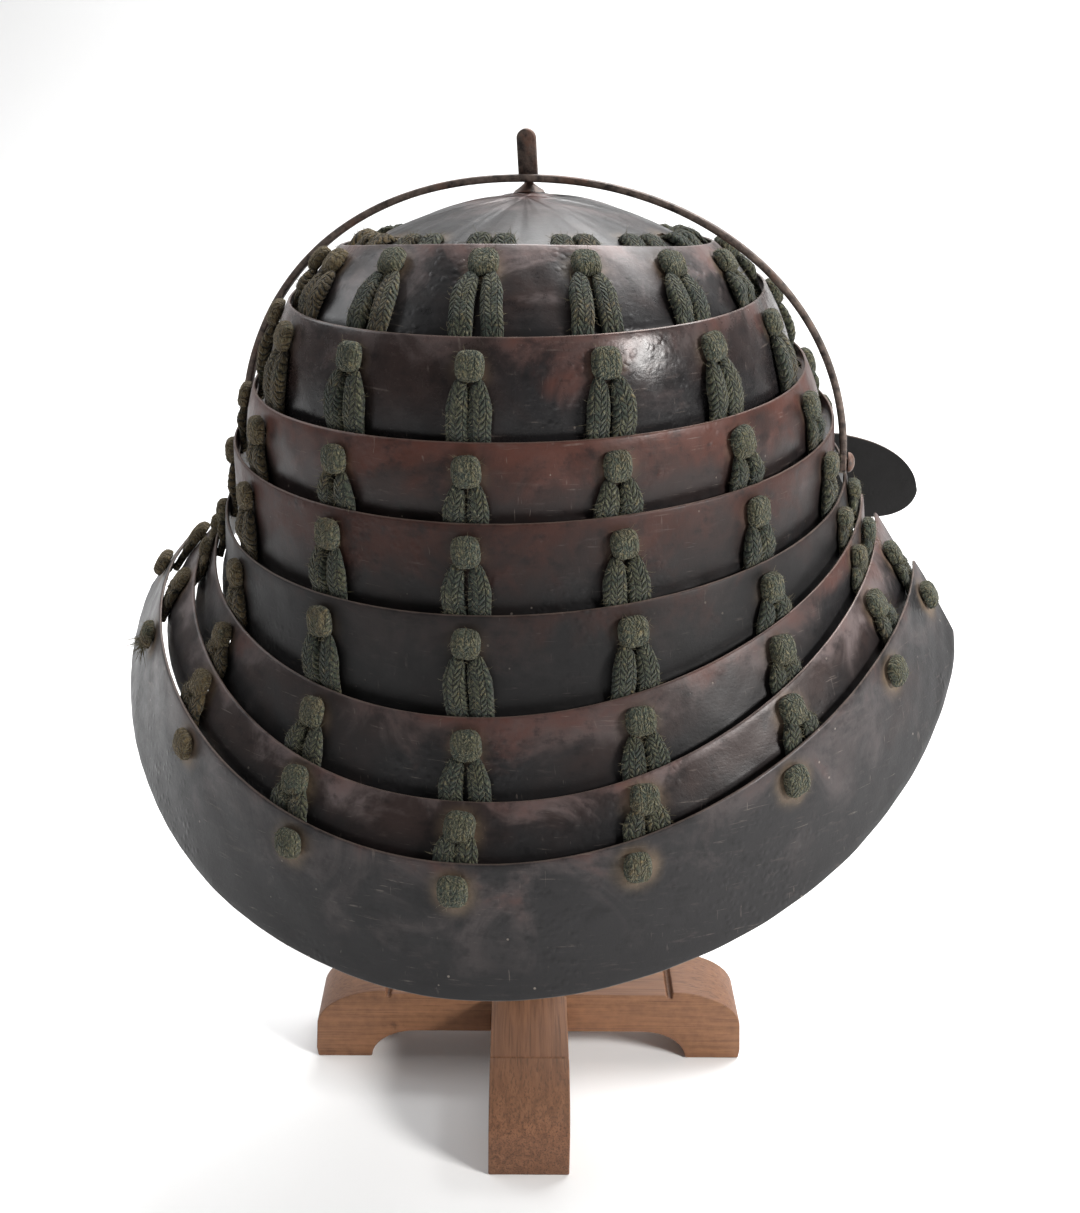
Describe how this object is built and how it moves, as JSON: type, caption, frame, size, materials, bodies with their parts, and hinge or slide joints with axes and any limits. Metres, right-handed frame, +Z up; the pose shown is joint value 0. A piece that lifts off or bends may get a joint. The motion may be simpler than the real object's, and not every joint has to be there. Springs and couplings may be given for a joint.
{
  "type": "folding kabuto samurai helmet on wooden stand",
  "caption": "Folding helmet of laced iron rings with a flared neck guard, a small peak and a hinged bail over the crown, resting on a crossed wooden stand.",
  "frame": {"origin": "centre of the bounding box on the floor, within 5 mm of the stand's centre, which is under the middle of the bail's hinge line", "axes": "+Z up, -Y out of the front of the helmet, +X towards the wearer's left"},
  "size_m": [0.3074, 0.3045, 0.3649],
  "materials": {
    "lacquered_iron": "worn brown-black lacquer on iron",
    "worn_iron": "bare, brown-grey, worn",
    "braided_cord": "braided green-brown cord, matte",
    "brown_wood": "fine-grained, satin, worn edges"
  },
  "bodies": {
    "helmet_and_stand": {"crown_plate": "lacquered_iron", "bowl_ring_1": "lacquered_iron", "bowl_ring_2": "lacquered_iron", "bowl_ring_3": "lacquered_iron", "brow_ring": "lacquered_iron", "neck_lame_1": "lacquered_iron", "neck_lame_2": "lacquered_iron", "neck_lame_3": "lacquered_iron", "neck_lame_4": "lacquered_iron", "peak": "lacquered_iron", "catch_post": "worn_iron", "hinge_rivet_left": "worn_iron", "hinge_rivet_right": "worn_iron", "lacing_01": "braided_cord", "lacing_02": "braided_cord", "lacing_03": "braided_cord", "lacing_04": "braided_cord", "lacing_05": "braided_cord", "lacing_06": "braided_cord", "lacing_07": "braided_cord", "lacing_08": "braided_cord", "lacing_09": "braided_cord", "lacing_10": "braided_cord", "lacing_11": "braided_cord", "lacing_12": "braided_cord", "lacing_13": "braided_cord", "lacing_14": "braided_cord", "lacing_15": "braided_cord", "lacing_16": "braided_cord", "stand_arm_long": "brown_wood", "stand_arm_cross": "brown_wood", "stand_post": "brown_wood", "stand_cap": "brown_wood"},
    "bail": {"bail": "worn_iron"}
  },
  "joints": [
    {"name": "bail_hinge", "type": "hinge", "parent": "helmet_and_stand", "child": "bail", "pos_m": [0.00009, 0.00017, 0.25149], "axis": [-0.9994, 0, 0.0359], "range_deg": [0, 8]}
  ]
}
